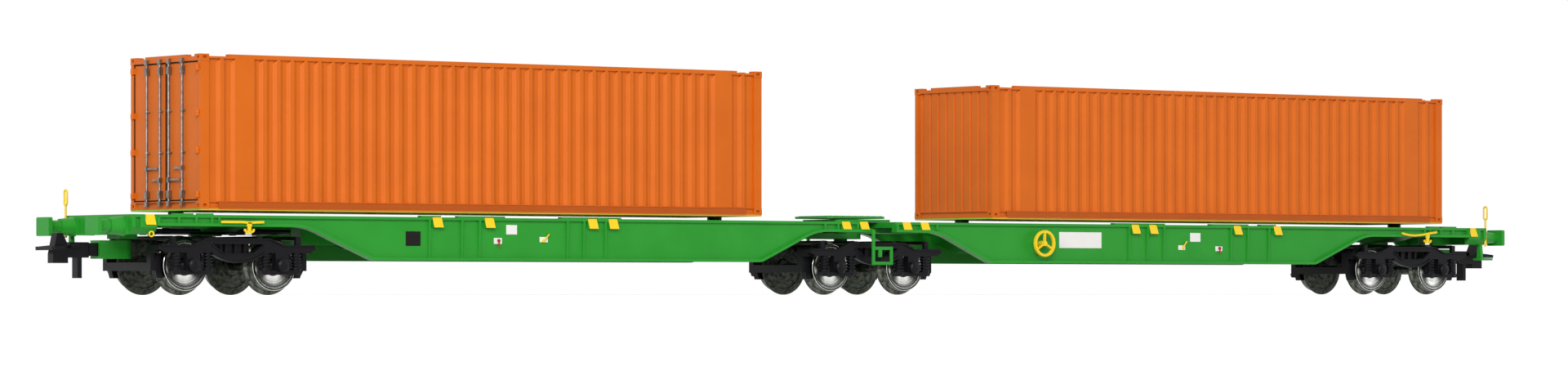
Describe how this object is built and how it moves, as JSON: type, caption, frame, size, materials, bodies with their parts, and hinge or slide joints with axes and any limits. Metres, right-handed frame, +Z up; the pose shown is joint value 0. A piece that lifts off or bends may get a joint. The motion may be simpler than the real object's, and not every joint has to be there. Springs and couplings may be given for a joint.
{
  "type": "model articulated flatcar with containers",
  "caption": "Model railway articulated flat wagon: hinged fishbelly frames on shared bogies, carrying ribbed shipping containers.",
  "frame": {"origin": "below the middle pivot, at the wheel flanges' lowest point", "axes": "+X along the wagon towards unit B, -Y towards the near side of the picture, +Z up"},
  "size_m": [0.4004, 0.0314, 0.0484],
  "materials": {
    "green": "satin lacquer on moulded frame",
    "orange": "satin orange moulding",
    "black": "matt black moulding",
    "yellow": "yellow moulding",
    "wheel": "turned metal tyre, blackened web",
    "lock_metal": "plated locking bars",
    "floor": "olive moulding"
  },
  "bodies": {
    "unit_a": {"a_articulation_arm": "green", "a_bolster": "green", "a_box_pegs": "black", "a_brake_levers": "yellow", "a_buffers": "green", "a_centre_frame": "green", "a_corner_step": "green", "a_end_beam": "green", "a_guide_wedges": "yellow", "a_middle_step": "green", "a_shunter_grip": "yellow", "a_sill_far": "green", "a_sill_near": "green"},
    "unit_b": {"b_articulation_arm": "green", "b_bolster": "green", "b_box_pegs": "black", "b_brake_levers": "yellow", "b_buffers": "green", "b_centre_frame": "green", "b_corner_step": "green", "b_end_beam": "green", "b_guide_wedges": "yellow", "b_hand_wheel": "yellow", "b_middle_step": "green", "b_shunter_grip": "yellow", "b_sill_far": "green", "b_sill_near": "green"},
    "box_a": {"a_box_door_end": "orange", "a_box_floor": "floor", "a_box_front_end": "orange", "a_box_lock_bars": "lock_metal", "a_box_roof": "orange", "a_box_sides": "orange"},
    "box_b": {"b_box_door_end": "orange", "b_box_floor": "floor", "b_box_front_end": "orange", "b_box_lock_bars": "lock_metal", "b_box_roof": "orange", "b_box_sides": "orange"},
    "bogie_outer_a": {"bogie_outer_a_cross_frame": "black", "bogie_outer_a_side_far": "black", "bogie_outer_a_side_near": "black"},
    "bogie_middle": {"bogie_middle_cross_frame": "black", "bogie_middle_side_far": "black", "bogie_middle_side_near": "black"},
    "bogie_outer_b": {"bogie_outer_b_cross_frame": "black", "bogie_outer_b_side_far": "black", "bogie_outer_b_side_near": "black"},
    "drawbar_a": {"a_coupling_head": "black", "a_drawbar": "green"},
    "drawbar_b": {"b_coupling_head": "black", "b_drawbar": "green"},
    "bow_a": {"a_coupling_bow": "black"},
    "bow_b": {"b_coupling_bow": "black"},
    "wheelset_1": {"wheelset_1": "wheel"},
    "wheelset_2": {"wheelset_2": "wheel"},
    "wheelset_3": {"wheelset_3": "wheel"},
    "wheelset_4": {"wheelset_4": "wheel"},
    "wheelset_5": {"wheelset_5": "wheel"},
    "wheelset_6": {"wheelset_6": "wheel"}
  },
  "joints": [
    {"name": "middle_articulation", "type": "hinge", "parent": "unit_a", "child": "unit_b", "pos_m": [0, 0, 0.0143], "axis": [0, 0, 1], "range_deg": [-20, 20]},
    {"name": "bogie_outer_a_swivel", "type": "hinge", "parent": "unit_a", "child": "bogie_outer_a", "pos_m": [-0.1632, 0, 0.01], "axis": [0, 0, 1], "range_deg": [-13, 13]},
    {"name": "bogie_middle_swivel", "type": "hinge", "parent": "unit_a", "child": "bogie_middle", "pos_m": [0, 0, 0.01], "axis": [0, 0, 1], "range_deg": [-13, 13]},
    {"name": "bogie_outer_b_swivel", "type": "hinge", "parent": "unit_b", "child": "bogie_outer_b", "pos_m": [0.1632, 0, 0.01], "axis": [0, 0, 1], "range_deg": [-13, 13]},
    {"name": "drawbar_a_swing", "type": "hinge", "parent": "unit_a", "child": "drawbar_a", "pos_m": [-0.1824, 0, 0.0091], "axis": [0, 0, 1], "range_deg": [-12, 12]},
    {"name": "drawbar_b_swing", "type": "hinge", "parent": "unit_b", "child": "drawbar_b", "pos_m": [0.1824, 0, 0.0091], "axis": [0, 0, 1], "range_deg": [-12, 12]},
    {"name": "bow_a_lift", "type": "hinge", "parent": "drawbar_a", "child": "bow_a", "pos_m": [-0.194, 0, 0.0099], "axis": [0, 1, 0], "range_deg": [0, 20]},
    {"name": "bow_b_lift", "type": "hinge", "parent": "drawbar_b", "child": "bow_b", "pos_m": [0.194, 0, 0.0099], "axis": [0, -1, 0], "range_deg": [0, 20]},
    {"name": "wheelset_1_spin", "type": "hinge", "parent": "bogie_outer_a", "child": "wheelset_1", "pos_m": [-0.17355, 0, 0.006], "axis": [0, 1, 0], "continuous": true},
    {"name": "wheelset_2_spin", "type": "hinge", "parent": "bogie_outer_a", "child": "wheelset_2", "pos_m": [-0.15285, 0, 0.006], "axis": [0, 1, 0], "continuous": true},
    {"name": "wheelset_3_spin", "type": "hinge", "parent": "bogie_middle", "child": "wheelset_3", "pos_m": [-0.01035, 0, 0.006], "axis": [0, 1, 0], "continuous": true},
    {"name": "wheelset_4_spin", "type": "hinge", "parent": "bogie_middle", "child": "wheelset_4", "pos_m": [0.01035, 0, 0.006], "axis": [0, 1, 0], "continuous": true},
    {"name": "wheelset_5_spin", "type": "hinge", "parent": "bogie_outer_b", "child": "wheelset_5", "pos_m": [0.15285, 0, 0.006], "axis": [0, 1, 0], "continuous": true},
    {"name": "wheelset_6_spin", "type": "hinge", "parent": "bogie_outer_b", "child": "wheelset_6", "pos_m": [0.17355, 0, 0.006], "axis": [0, 1, 0], "continuous": true},
    {"name": "box_a_lift", "type": "slide", "parent": "unit_a", "child": "box_a", "axis": [0, 0, 1], "range_m": [0, 0.03]},
    {"name": "box_b_lift", "type": "slide", "parent": "unit_b", "child": "box_b", "axis": [0, 0, 1], "range_m": [0, 0.03]}
  ]
}
